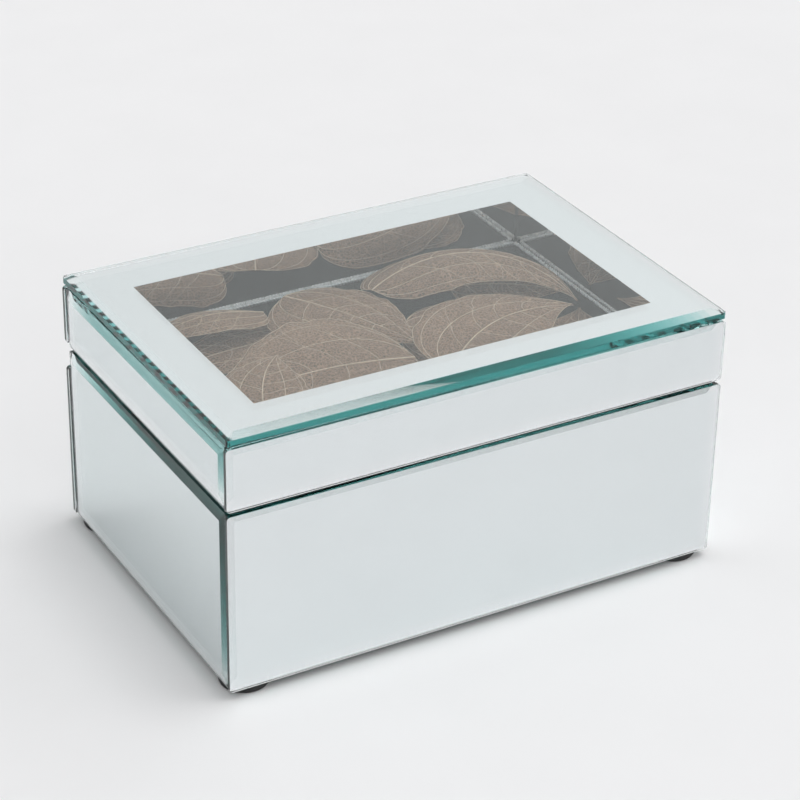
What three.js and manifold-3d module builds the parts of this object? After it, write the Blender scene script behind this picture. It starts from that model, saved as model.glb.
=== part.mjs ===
// A mirrored-glass trinket box with a hinged lid. Skeleton leaves lie in a shallow, glass-topped
// tray inside the lid. Millimetres, +Z up, the front faces -Y, and the origin is on the table under
// the middle of the box.
import * as THREE from "three";
import { mergeVertices } from "three/addons/utils/BufferGeometryUtils.js";
import Module from "manifold-3d";

const wasm = await Module();
wasm.setup();

// ---- Overall sizes ----
const boxWidth = 240; // left to right
const boxDepth = 165; // front to back
const footHeight = 3.5; // table to the lower edge of the glass
const baseGlassHeight = 85;
const lidJoint = 2; // open slot between base glass and lid glass
const lidGlassHeight = 28.9;
const bond = 0.3; // adhesive line between glued pieces
const fit = 0.3; // clearance where a piece is only laid or screwed in place

// ---- Glass ----
const mirrorThickness = 3;
const topGlassThickness = 4;
const topGlassInset = 0.4; // the top pane stands this far inside the side panes
const topPaneGap = 1.3; // open line between the side panes' upper edges and the silvering
const bevelWidth = 5;
const mirrorBevelDrop = 0.95;
const topBevelDrop = 1.06;
const paneCornerRadius = 1.5;
const bevelCornerRadius = 0.4; // at the corners of the flat that the bevels surround
const silverThickness = 0.2; // silvering and its paint, on the underside of the top pane
const silverGap = 0.1;
const silverEdgeInset = 0.6; // the silvering stops this far inside the edge of the top pane
const windowBorder = 24; // outer face of the box to the clear window
const backPaneRebate = 9; // bare strip above the base's back pane, where the hinges are screwed
const lidBackLift = 1.2; // the lid's back pane ends this far above the lid's other panes

// ---- Boards and linings ----
const boardThickness = 6;
const boardDrop = 0.3; // base boards end this far below the glass
const undersideThickness = 0.8; // felt under the base
const rimThickness = 0.8; // velvet over the top edges of the base boards
const liningThickness = 1.2; // velvet on the base walls
const padThickness = 3.5;
const padClearance = 0.5;
const padCornerRadius = 3;
const padShoulder = 1.2; // the pad's top edge is rounded down by this much
const lidLiningThickness = 0.8; // velvet under the lid
const mitreGap = 0.3;

// ---- Tray in the lid ----
const trayMirrorThickness = 3;
const trayCornerGap = 1.5; // bare strip of rail at each corner, past the ends of the side strips
const trayFloorThickness = 1.2;
const beadRadius = 1.2;
const beadSides = 8;

// ---- Feet ----
const footRadius = 11;
const footInset = 12; // outer faces of the box to the foot's centre
const footRounding = 1.2;

// ---- Hinges ----
const hingeSpacing = 144; // between the middles of the two hinges
const hingeWidth = 28;
const middleKnuckleWidth = 10;
const knuckleGap = 0.4;
const knuckleRadius = 1.4;
const pinRadius = 0.7;
const pinClearance = 0.1;
const pinHeadHeight = 0.5;
const pinHeadRadius = 1.1;
const hingePlateThickness = 0.8;
const basePlateHeight = 8.4; // below the hinge axis
const lidPlateLength = 7.4; // in front of the hinge axis
const notchClearance = 0.5; // lining to hinge plate

// ---- Screws ----
const screwSpacing = 16;
const screwHeadRadius = 1.7;
const screwHeadHeight = 0.7;
const screwShankRadius = 0.8;
const screwLength = 5;
const screwTipLength = 1.2;
const screwSlotWidth = 0.45;
const screwSlotDepth = 0.3;
const basePlateScrewDrop = 4.9; // hinge axis to the screws in the base plate
const lidPlateScrewSetback = 4.7; // hinge axis to the screws in the lid plate

// ---- Leaves ----
const leafThickness = 0.4;
const stalkWidth = 1.4;
const leafSteps = 14; // along the blade
const leafColumns = 8; // across the blade

// ---- Round work ----
const roundSegments = 32;
const smallSegments = 16;
const cornerSegments = 4;

// ---- Heights and setbacks that follow ----
const baseTop = footHeight + baseGlassHeight;
const lidBottom = baseTop + lidJoint;
const lidSideTop = lidBottom + lidGlassHeight;
const silverBottom = lidSideTop + topPaneGap;
const topGlassBottom = silverBottom + silverThickness + silverGap;

const boardSetback = mirrorThickness + bond; // outer face of the box to the outer face of a board
const boardInner = boardSetback + boardThickness;
const liningSetback = boardInner + bond;
const liningInner = liningSetback + liningThickness;
const trayWall = liningSetback + trayMirrorThickness; // outer face of the box to the tray's walls

const boardBottom = footHeight + undersideThickness + bond;
const boardTop = baseTop - boardDrop;
const floorTop = boardBottom + boardThickness;
const rimBottom = boardTop + bond;
const rimTop = rimBottom + rimThickness;

const lidLiningBottom = rimTop + fit;
const lidLiningTop = lidLiningBottom + lidLiningThickness;
const frameBottom = lidLiningTop + bond;
const frameTop = silverBottom - bond;
const trayFloorTop = frameBottom + trayFloorThickness;

// ---- Materials ----
function material(color, roughness, metalness) {
  return new THREE.MeshStandardMaterial({ color, roughness, metalness });
}

const mirrorGlass = material(0xd6dee2, 0.03, 0.9);
const clearGlass = new THREE.MeshStandardMaterial({
  color: 0xcfe6df,
  roughness: 0.02,
  metalness: 0,
  transparent: true,
  opacity: 0.3,
});
const silvering = material(0xdde3e6, 0.05, 1);
const board = material(0xb08a5e, 0.8, 0);
const velvet = material(0x2b2b30, 0.95, 0);
const felt = material(0x1c1c1e, 0.95, 0);
const trayCard = material(0x5f6165, 0.8, 0);
const braid = material(0xd8d9db, 0.4, 0.3);
const dryLeaf = material(0x8a7d70, 0.85, 0);
const rubber = material(0x111213, 0.7, 0);
const hingeSteel = material(0xb9bcc0, 0.3, 1);
const screwSteel = material(0xc7c9cc, 0.35, 1);

// ---- The tree: the lid's pieces sit in their own group ----
const trinketBox = new THREE.Group();
const base = new THREE.Group();
const lid = new THREE.Group();
trinketBox.add(base, lid);

function place(group, name, geometry, finish) {
  const mesh = new THREE.Mesh(geometry, finish);
  mesh.name = name;
  group.add(mesh);
  return mesh;
}

// ---- Geometry helpers ----

// A closed geometry from rings of points. Each ring runs anticlockwise seen from the last ring, and
// the whole of its outline can be seen from its first point.
function loft(rings) {
  const count = rings[0].length;
  const positions = rings.flat(2);
  const triangles = [];
  for (let ring = 0; ring < rings.length - 1; ring++) {
    for (let i = 0; i < count; i++) {
      const a = ring * count + i;
      const b = ring * count + ((i + 1) % count);
      triangles.push(a, b, b + count, a, b + count, a + count);
    }
  }
  const last = (rings.length - 1) * count;
  for (let i = 1; i < count - 1; i++) {
    triangles.push(0, i + 1, i, last, last + i, last + i + 1);
  }
  return fromTriangles(positions, triangles);
}

function fromTriangles(positions, triangles) {
  const geometry = new THREE.BufferGeometry();
  geometry.setAttribute("position", new THREE.Float32BufferAttribute(positions, 3));
  geometry.setIndex(triangles);
  geometry.computeVertexNormals();
  return geometry;
}

function slab(x0, x1, y0, y1, z0, z1) {
  const geometry = new THREE.BoxGeometry(x1 - x0, y1 - y0, z1 - z0);
  return geometry.translate((x0 + x1) / 2, (y0 + y1) / 2, (z0 + z1) / 2);
}

// The four-cornered outline of a pane, anticlockwise, with small round corners, at height z.
function roundedRing(width, height, radius, z) {
  const ring = [];
  const centres = [
    [1, 1, 0],
    [-1, 1, 1],
    [-1, -1, 2],
    [1, -1, 3],
  ];
  for (const [sx, sy, quarter] of centres) {
    for (let i = 0; i <= cornerSegments; i++) {
      const angle = ((quarter + i / cornerSegments) * Math.PI) / 2;
      ring.push([
        sx * (width / 2 - radius) + radius * Math.cos(angle),
        sy * (height / 2 - radius) + radius * Math.sin(angle),
        z,
      ]);
    }
  }
  return ring;
}

// A pane lying flat: back face at z = 0, bevelled all round its front face.
function bevelledPane(width, height, thickness, bevelDrop) {
  const innerWidth = width - 2 * bevelWidth;
  const innerHeight = height - 2 * bevelWidth;
  return loft([
    roundedRing(width, height, paneCornerRadius, 0),
    roundedRing(width, height, paneCornerRadius, thickness - bevelDrop),
    roundedRing(innerWidth, innerHeight, bevelCornerRadius, thickness),
  ]);
}

// Stands a flat pane up as a wall. Quarter turn 0 is the front, 1 the right, 2 the back, 3 the left.
function standUp(geometry, quarter, setback, bottom, height) {
  const half = quarter % 2 === 0 ? boxDepth / 2 : boxWidth / 2;
  geometry.rotateX(Math.PI / 2);
  geometry.translate(0, -(half - setback), bottom + height / 2);
  return geometry.rotateZ((quarter * Math.PI) / 2);
}

// A closed band that runs round a rectangle. The section's points are [distance inwards, height],
// anticlockwise where inwards is to the right.
function bandAround(section) {
  const corners = [
    [-1, -1],
    [1, -1],
    [1, 1],
    [-1, 1],
  ];
  const count = section.length;
  const positions = [];
  const triangles = [];
  for (const [sx, sy] of corners) {
    for (const [inwards, z] of section) {
      positions.push(sx * (boxWidth / 2 - inwards), sy * (boxDepth / 2 - inwards), z);
    }
  }
  for (let corner = 0; corner < corners.length; corner++) {
    for (let i = 0; i < count; i++) {
      const a = corner * count + i;
      const b = corner * count + ((i + 1) % count);
      const step = corner === corners.length - 1 ? -corner * count : count;
      triangles.push(a, b + step, a + step, a, b, b + step);
    }
  }
  return fromTriangles(positions, triangles);
}

// One wall's length of a section, mitred at both ends. Quarter turns are as for standUp.
function mitredStrip(section, quarter) {
  const half = quarter % 2 === 0 ? boxWidth / 2 : boxDepth / 2;
  const across = quarter % 2 === 0 ? boxDepth / 2 : boxWidth / 2;
  const end = (side) =>
    section.map(([inwards, z]) => [side * (half - inwards - mitreGap / 2), inwards - across, z]);
  return loft([end(-1), end(1)]).rotateZ((quarter * Math.PI) / 2);
}

// ---- Booleans ----
function solid(geometry) {
  const bare = geometry.index ? geometry.toNonIndexed() : geometry.clone();
  bare.deleteAttribute("normal");
  bare.deleteAttribute("uv");
  const merged = mergeVertices(bare, 1e-4);
  return new wasm.Manifold(
    new wasm.Mesh({
      numProp: 3,
      vertProperties: new Float32Array(merged.attributes.position.array),
      triVerts: new Uint32Array(merged.index.array),
    }),
  );
}

function surface(body) {
  const mesh = body.getMesh();
  return fromTriangles(Array.from(mesh.vertProperties), Array.from(mesh.triVerts));
}

function joined(geometries) {
  return geometries.map(solid).reduce((whole, piece) => whole.add(piece));
}

function cut(body, geometries) {
  return geometries.map(solid).reduce((whole, piece) => whole.subtract(piece), body);
}

// A turned piece standing on z = 0, from a profile of [radius, height] points.
function turned(profile, segments) {
  const points = profile.map(([r, z]) => new THREE.Vector2(r, z));
  return new THREE.LatheGeometry(points, segments).rotateX(Math.PI / 2);
}

// ---- Mirror panes of the base and the lid ----
const sideNames = ["front", "right", "back", "left"];
const sidePaneSetback = mirrorThickness + bond; // side panes stand between the front and back panes
const sidePaneLength = boxDepth - 2 * sidePaneSetback;

function addPanes(group, prefix, bottoms, tops) {
  sideNames.forEach((side, quarter) => {
    const length = quarter % 2 === 0 ? boxWidth : sidePaneLength;
    const height = tops[side] - bottoms[side];
    const pane = bevelledPane(length, height, mirrorThickness, mirrorBevelDrop);
    const wall = standUp(pane, quarter, mirrorThickness, bottoms[side], height);
    place(group, `${prefix}_${side}_mirror`, wall, mirrorGlass);
  });
}

function eachSide(value, back) {
  return { front: value, right: value, back, left: value };
}

addPanes(base, "base", eachSide(footHeight, footHeight), eachSide(baseTop, baseTop - backPaneRebate));
addPanes(lid, "lid", eachSide(lidBottom, lidBottom + lidBackLift), eachSide(lidSideTop, lidSideTop));

// ---- Hinge positions ----
const plateSetback = boardSetback - fit; // outer face of the box to the near face of a base plate
const hingeY = boxDepth / 2 - plateSetback + knuckleRadius;
const hingeZ = lidLiningTop - knuckleRadius;
const hingeCentres = [-hingeSpacing / 2, hingeSpacing / 2];
const screwOffsets = [-screwSpacing / 2, screwSpacing / 2];
const basePlateScrewZ = hingeZ - basePlateScrewDrop;
const lidPlateScrewY = hingeY - lidPlateScrewSetback;
const basePlateOuterY = boxDepth / 2 - plateSetback + hingePlateThickness;
const lidPlateBottom = lidLiningTop - hingePlateThickness;

// A countersunk screw with its head's flat at z = 0 and its tip pointing down -Z. With a clearance
// it is the hole that the screw goes in.
function screwShape(clearance) {
  const head = screwHeadRadius + clearance;
  const shank = screwShankRadius + clearance;
  const length = screwLength + clearance;
  return turned(
    [
      [0, -length],
      [shank, -length + screwTipLength],
      [shank, -screwHeadHeight - clearance],
      [head, -clearance / 2],
      [head, clearance],
      [0, clearance],
    ],
    smallSegments,
  );
}

function screw() {
  const slot = slab(
    -2 * screwHeadRadius,
    2 * screwHeadRadius,
    -screwSlotWidth / 2,
    screwSlotWidth / 2,
    -screwSlotDepth,
    screwHeadHeight,
  );
  const blank = turned(
    [
      [0, -screwLength],
      [screwShankRadius, -screwLength + screwTipLength],
      [screwShankRadius, -screwHeadHeight],
      [screwHeadRadius, 0],
      [0, 0],
    ],
    smallSegments,
  );
  return surface(cut(solid(blank), [slot]));
}

// Puts a screw, or its hole, through the base plate into the back board.
function intoBackBoard(geometry, x) {
  return geometry.rotateX(-Math.PI / 2).translate(x, basePlateOuterY, basePlateScrewZ);
}

// Puts a screw, or its hole, up through the lid plate into the lid's back rail.
function intoLidRail(geometry, x) {
  return geometry.rotateX(Math.PI).translate(x, lidPlateScrewY, lidPlateBottom);
}

const baseScrewHoles = [];
const lidScrewHoles = [];
for (const centre of hingeCentres) {
  for (const offset of screwOffsets) {
    baseScrewHoles.push(intoBackBoard(screwShape(fit), centre + offset));
    lidScrewHoles.push(intoLidRail(screwShape(fit), centre + offset));
  }
}

// ---- Boards: long ones at the front and back, short ones between them ----
function addBoards(group, prefix, suffix, bottom, top, backHoles) {
  const outerX = boxWidth / 2 - boardSetback;
  const outerY = boxDepth / 2 - boardSetback;
  const innerX = boxWidth / 2 - boardInner;
  const innerY = boxDepth / 2 - boardInner;
  const sideY = innerY - bond;
  const front = slab(-outerX, outerX, -outerY, -innerY, bottom, top);
  const back = slab(-outerX, outerX, innerY, outerY, bottom, top);
  place(group, `${prefix}_front_${suffix}`, front, board);
  place(group, `${prefix}_back_${suffix}`, surface(cut(solid(back), backHoles)), board);
  place(group, `${prefix}_left_${suffix}`, slab(-outerX, -innerX, -sideY, sideY, bottom, top), board);
  place(group, `${prefix}_right_${suffix}`, slab(innerX, outerX, -sideY, sideY, bottom, top), board);
}

addBoards(base, "base", "board", boardBottom, boardTop, baseScrewHoles);
addBoards(lid, "lid", "rail", frameBottom, frameTop, lidScrewHoles);

// A rectangle centred on the box, a given distance inside its outer faces.
function insetSlab(inset, bottom, top) {
  const x = boxWidth / 2 - inset;
  const y = boxDepth / 2 - inset;
  return slab(-x, x, -y, y, bottom, top);
}

place(base, "base_floor_board", insetSlab(liningSetback, boardBottom, floorTop), board);
place(base, "underside_felt", insetSlab(boardSetback, footHeight, footHeight + undersideThickness), felt);

// ---- Velvet inside the base ----
// Each wall's lining turns outwards over the board's top edge, so its section is a hook. It starts
// at the hook's inner corner.
const liningSection = [
  [liningSetback, rimBottom],
  [liningSetback, floorTop + bond],
  [liningInner, floorTop + bond],
  [liningInner, rimTop],
  [boardSetback + fit, rimTop],
  [boardSetback + fit, rimBottom],
];
sideNames.forEach((side, quarter) => {
  place(base, `${side}_wall_lining`, mitredStrip(liningSection, quarter), velvet);
});

const padWidth = boxWidth - 2 * (liningInner + padClearance);
const padDepth = boxDepth - 2 * (liningInner + padClearance);
const padBottom = floorTop + bond;
const floorPad = loft([
  roundedRing(padWidth, padDepth, padCornerRadius, padBottom),
  roundedRing(padWidth, padDepth, padCornerRadius, padBottom + padThickness - padShoulder),
  roundedRing(padWidth - 2 * padShoulder, padDepth - 2 * padShoulder, padCornerRadius, padBottom + padThickness),
]);
place(base, "floor_pad", floorPad, velvet);

// ---- Feet ----
const footTop = footHeight - bond;
for (const [side, sx] of [["left", -1], ["right", 1]]) {
  for (const [end, sy] of [["front", -1], ["back", 1]]) {
    const foot = turned(
      [
        [0, 0],
        [footRadius - footRounding, 0],
        [footRadius - footRounding / 3, footRounding / 3],
        [footRadius, footRounding],
        [footRadius, footTop],
        [0, footTop],
      ],
      roundSegments,
    );
    foot.translate(sx * (boxWidth / 2 - footInset), sy * (boxDepth / 2 - footInset), 0);
    place(base, `foot_${end}_${side}`, foot, rubber);
  }
}

// ---- Top pane and its silvered border ----
const topPaneWidth = boxWidth - 2 * topGlassInset;
const topPaneDepth = boxDepth - 2 * topGlassInset;
const topPane = bevelledPane(topPaneWidth, topPaneDepth, topGlassThickness, topBevelDrop);
place(lid, "lid_top_glass", topPane.translate(0, 0, topGlassBottom), clearGlass);

const silverOuter = topGlassInset + silverEdgeInset;
const silverBand = bandAround([
  [silverOuter, silverBottom],
  [windowBorder, silverBottom],
  [windowBorder, silverBottom + silverThickness],
  [silverOuter, silverBottom + silverThickness],
]);
place(lid, "border_silvering", silverBand, silvering);

// ---- Tray: mirror strips on the rails, a card floor and a braid along the seam ----
const trayMirrorBottom = trayFloorTop + bond;
const trayLongX = boxWidth / 2 - liningSetback;
const trayShortY = boxDepth / 2 - trayWall - trayCornerGap;
for (const [side, sign] of [["front", -1], ["back", 1]]) {
  const strip = slab(
    -trayLongX,
    trayLongX,
    -trayMirrorThickness / 2,
    trayMirrorThickness / 2,
    trayMirrorBottom,
    frameTop,
  );
  strip.translate(0, sign * (boxDepth / 2 - liningSetback - trayMirrorThickness / 2), 0);
  place(lid, `tray_${side}_mirror`, strip, mirrorGlass);
}
for (const [side, sign] of [["left", -1], ["right", 1]]) {
  const strip = slab(
    -trayMirrorThickness / 2,
    trayMirrorThickness / 2,
    -trayShortY,
    trayShortY,
    trayMirrorBottom,
    frameTop,
  );
  strip.translate(sign * (boxWidth / 2 - liningSetback - trayMirrorThickness / 2), 0, 0);
  place(lid, `tray_${side}_mirror`, strip, mirrorGlass);
}
place(lid, "tray_floor", insetSlab(liningSetback, frameBottom, trayFloorTop), trayCard);

const beadInwards = trayWall + silverGap + beadRadius;
const beadHeight = trayFloorTop + silverGap + beadRadius;
const beadSection = [];
for (let i = 0; i < beadSides; i++) {
  const angle = ((i + 0.5) * 2 * Math.PI) / beadSides;
  beadSection.push([beadInwards + beadRadius * Math.cos(angle), beadHeight + beadRadius * Math.sin(angle)]);
}
place(lid, "tray_seam_braid", bandAround(beadSection), braid);

// ---- Velvet under the lid, notched round the hinge plates ----
const lidLiningX = boxWidth / 2 - boardSetback - fit;
const lidLiningY = boxDepth / 2 - boardSetback - fit;
const notchFront = hingeY - lidPlateLength - notchClearance;
const notchHalf = hingeWidth / 2 + notchClearance;
const lidLiningOutline = [
  [-lidLiningX, -lidLiningY],
  [lidLiningX, -lidLiningY],
  [lidLiningX, lidLiningY],
];
for (const centre of hingeCentres.toReversed()) {
  lidLiningOutline.push(
    [centre + notchHalf, lidLiningY],
    [centre + notchHalf, notchFront],
    [centre - notchHalf, notchFront],
    [centre - notchHalf, lidLiningY],
  );
}
lidLiningOutline.push([-lidLiningX, lidLiningY]);
const lidLiningShape = new THREE.Shape(lidLiningOutline.map(([x, y]) => new THREE.Vector2(x, y)));
const lidLining = new THREE.ExtrudeGeometry(lidLiningShape, { depth: lidLiningThickness, bevelEnabled: false });
place(lid, "lid_underside_lining", lidLining.translate(0, 0, lidLiningBottom), velvet);

// ---- Hinges ----
const knuckleClear = knuckleRadius + fit; // how far a plate stops from the other plate's knuckles
const outerKnuckleWidth = (hingeWidth - middleKnuckleWidth) / 2 - knuckleGap;
const outerKnuckleCentre = (hingeWidth - outerKnuckleWidth) / 2;
const middleHalf = middleKnuckleWidth / 2;
const outerStart = middleHalf + knuckleGap;
const hingeHalf = hingeWidth / 2;

// A rod along X, centred on the hinge axis.
function axisRod(radius, length, x) {
  const rod = new THREE.CylinderGeometry(radius, radius, length, smallSegments);
  return rod.rotateZ(Math.PI / 2).translate(x, hingeY, hingeZ);
}

for (const [side, centre] of [["left", hingeCentres[0]], ["right", hingeCentres[1]]]) {
  const bore = axisRod(pinRadius + pinClearance, 2 * hingeWidth, centre);

  const plateInnerY = boxDepth / 2 - plateSetback;
  const baseBottom = hingeZ - basePlateHeight;
  const basePlate = [
    slab(centre - hingeHalf, centre + hingeHalf, plateInnerY, basePlateOuterY, baseBottom, hingeZ - knuckleClear),
  ];
  for (const sign of [-1, 1]) {
    const x0 = centre + sign * outerStart;
    const x1 = centre + sign * hingeHalf;
    const ear = slab(
      Math.min(x0, x1),
      Math.max(x0, x1),
      plateInnerY,
      basePlateOuterY,
      hingeZ - knuckleClear,
      hingeZ,
    );
    basePlate.push(ear, axisRod(knuckleRadius, outerKnuckleWidth, centre + sign * outerKnuckleCentre));
  }
  const baseHinge = cut(joined(basePlate), [bore, ...baseScrewHoles]);
  place(base, `${side}_hinge_base_plate`, surface(baseHinge), hingeSteel);

  const plateFront = hingeY - lidPlateLength;
  const lidPlate = [
    slab(
      centre - hingeHalf,
      centre + hingeHalf,
      plateFront,
      hingeY - knuckleClear,
      lidPlateBottom,
      lidLiningTop,
    ),
    slab(centre - middleHalf, centre + middleHalf, hingeY - knuckleClear, hingeY, lidPlateBottom, lidLiningTop),
    axisRod(knuckleRadius, middleKnuckleWidth, centre),
  ];
  const lidHinge = cut(joined(lidPlate), [bore, ...lidScrewHoles]);
  place(lid, `${side}_hinge_lid_plate`, surface(lidHinge), hingeSteel);

  const headCentre = (hingeWidth + pinHeadHeight) / 2 + pinClearance;
  const pin = joined([
    axisRod(pinRadius, hingeWidth + 2 * pinClearance, centre),
    axisRod(pinHeadRadius, pinHeadHeight, centre - headCentre),
    axisRod(pinHeadRadius, pinHeadHeight, centre + headCentre),
  ]);
  place(base, `${side}_hinge_pin`, surface(pin), hingeSteel);

  screwOffsets.forEach((offset, index) => {
    const number = index + 1;
    place(base, `${side}_hinge_base_screw_${number}`, intoBackBoard(screw(), centre + offset), screwSteel);
    place(lid, `${side}_hinge_lid_screw_${number}`, intoLidRail(screw(), centre + offset), screwSteel);
  });
}

// ---- Skeleton leaves ----
// The leaves are laid out in a tray of this size, and the layout is stretched to the real one.
const layoutHalfWidth = 108.4;
const layoutHalfDepth = 70.9;
const layoutHeight = 27.6;
const stretch = new THREE.Vector3(
  (boxWidth / 2 - trayWall) / layoutHalfWidth,
  (boxDepth / 2 - trayWall) / layoutHalfDepth,
  (silverBottom - trayFloorTop) / layoutHeight,
);

// Each leaf starts at a point over the tray floor and runs along a heading that turns by `bend`.
// `lift` arches its midrib, `droop` lowers its edges, and `roll` tips it about its midrib.
const leaves = [
  { x: -5, y: -30, z: 13.5, heading: 180, length: 101, width: 79, lift: 5, droop: 3, bend: 0, roll: -9 },
  { x: 13, y: 13, z: 4.5, heading: -38, length: 88, width: 68, lift: 3, droop: 2.5, bend: -8, roll: 0 },
  { x: 5, y: -46, z: 14, heading: 44, length: 84, width: 56, lift: 4, droop: 2.5, bend: -52, roll: 8 },
  { x: 14, y: 43, z: 9, heading: 18, length: 108, width: 50, lift: 10, droop: 8, bend: -104, roll: -8 },
  { x: -24, y: 56, z: 9, heading: -65, length: 76, width: 60, lift: 2, droop: 4, bend: 0, roll: 0 },
  { x: -38, y: 50, z: 7, heading: 183, length: 66, width: 38, lift: 6, droop: 4, bend: 4, roll: 12 },
  { x: -26, y: 32, z: 2, heading: 180, length: 78, width: 42, lift: 1.5, droop: 1, bend: 8, roll: 0 },
  { x: -92, y: -60, z: 21.5, heading: 72, length: 54, width: 40, lift: 2.5, droop: 2, bend: -28, roll: 0 },
  { x: 56, y: 44, z: 1, heading: -24, length: 54, width: 48, lift: 1.4, droop: 0.5, bend: -16, roll: 0 },
  { x: 56, y: -58, z: 1, heading: 50, length: 70, width: 50, lift: 1.2, droop: 0.5, bend: 6, roll: 0 },
];

// Half the blade's width, as a share of its widest, at a share of its length.
function bladeShape(share) {
  return Math.max(Math.sin(Math.PI * share ** 0.62), 0) ** 0.8;
}

// The midrib's place and heading at a share of the blade's length.
function midrib(leaf, share) {
  const start = THREE.MathUtils.degToRad(leaf.heading);
  const turn = THREE.MathUtils.degToRad(leaf.bend) * share;
  const shortening = turn === 0 ? 1 : Math.sin(turn / 2) / (turn / 2);
  const reach = leaf.length * share * shortening;
  return {
    x: leaf.x + reach * Math.cos(start + turn / 2),
    y: leaf.y + reach * Math.sin(start + turn / 2),
    z: leaf.z + leaf.lift * Math.sin(Math.PI * share),
    heading: start + turn,
  };
}

function leafGeometry(leaf) {
  const slope = Math.tan(THREE.MathUtils.degToRad(leaf.roll));
  const rings = [];
  for (let step = 0; step <= leafSteps; step++) {
    const share = step / leafSteps;
    const rib = midrib(leaf, share);
    const half = Math.max((leaf.width / 2) * bladeShape(share), stalkWidth / 2);
    const upper = [];
    const lower = [];
    for (let column = 0; column <= leafColumns; column++) {
      const across = (2 * column) / leafColumns - 1;
      const offset = across * half;
      const x = stretch.x * (rib.x - offset * Math.sin(rib.heading));
      const y = stretch.y * (rib.y + offset * Math.cos(rib.heading));
      const fall = leaf.droop * across * across * bladeShape(share);
      const z = trayFloorTop + stretch.z * (rib.z - fall + offset * slope);
      upper.unshift([x, y, z]);
      lower.push([x, y, z - leafThickness]);
    }
    rings.push([...lower, ...upper]);
  }
  return loft(rings);
}

leaves.forEach((leaf, index) => {
  place(lid, `skeleton_leaf_${index + 1}`, leafGeometry(leaf), dryLeaf);
});

export default trinketBox;
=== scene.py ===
"""The looks of a mirrored vanity trinket box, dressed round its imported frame.

Bevelled mirror glass clads a boarded base and a hinged lid. The lid's top is one clear pane, silvered
round its border, over a shallow mirrored tray of skeleton leaves. Lengths are in metres unless a name
ends in _mm.
"""

from __future__ import annotations

import logging
import math
import random
from dataclasses import dataclass
from enum import Enum
from typing import Iterable, Sequence

import bmesh
import bpy
from mathutils import Matrix, Vector


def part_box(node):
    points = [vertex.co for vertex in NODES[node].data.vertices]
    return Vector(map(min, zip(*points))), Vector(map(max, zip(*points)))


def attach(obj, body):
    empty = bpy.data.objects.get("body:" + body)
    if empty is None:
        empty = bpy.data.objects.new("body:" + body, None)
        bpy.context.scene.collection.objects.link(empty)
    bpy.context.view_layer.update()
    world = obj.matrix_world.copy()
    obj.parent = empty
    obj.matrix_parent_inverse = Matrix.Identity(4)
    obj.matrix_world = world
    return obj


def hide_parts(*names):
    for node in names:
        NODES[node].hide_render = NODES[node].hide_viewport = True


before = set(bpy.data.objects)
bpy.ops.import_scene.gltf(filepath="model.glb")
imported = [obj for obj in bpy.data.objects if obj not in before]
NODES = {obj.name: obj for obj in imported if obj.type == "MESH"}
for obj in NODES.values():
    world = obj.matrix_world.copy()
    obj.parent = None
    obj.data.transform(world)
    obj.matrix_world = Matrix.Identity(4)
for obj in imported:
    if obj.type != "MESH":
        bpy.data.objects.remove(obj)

LOG = logging.getLogger("trinket_box")
MM = 0.001
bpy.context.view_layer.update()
BOND = 0.3 * MM  # the adhesive line between glued pieces
EDGE_STEPS = 3  # faces round a rounded edge
TONE_RANGE = (0.35, 0.65)  # the part of a pattern's tone that shows, from its darker to its paler colour

Socket = bpy.types.NodeSocket
Colour = tuple[float, float, float, float]
Row = list[bmesh.types.BMVert]


class Body(Enum):
    """The rigid bodies that pieces ride on."""

    BASE = "base"
    LID = "lid"


class Side(Enum):
    """A wall of the box, with its outward direction."""

    FRONT = (0, -1)
    RIGHT = (1, 0)
    BACK = (0, 1)
    LEFT = (-1, 0)

    @property
    def word(self) -> str:
        """The side's name as pieces are named."""
        return self.name.lower()


def srgb(red: int, green: int, blue: int) -> Colour:
    """Turns a display colour into a linear one.

    Args:
        red: Red, 0 to 255.
        green: Green, 0 to 255.
        blue: Blue, 0 to 255.

    Returns:
        Linear red, green, blue and an alpha of 1.
    """
    shares = [value / 255 for value in (red, green, blue)]
    linear = [s / 12.92 if s <= 0.04045 else ((s + 0.055) / 1.055) ** 2.4 for s in shares]
    return linear[0], linear[1], linear[2], 1.0


# ---------------------------------------------------------------------------------------------------
# Node trees
# ---------------------------------------------------------------------------------------------------


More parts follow.
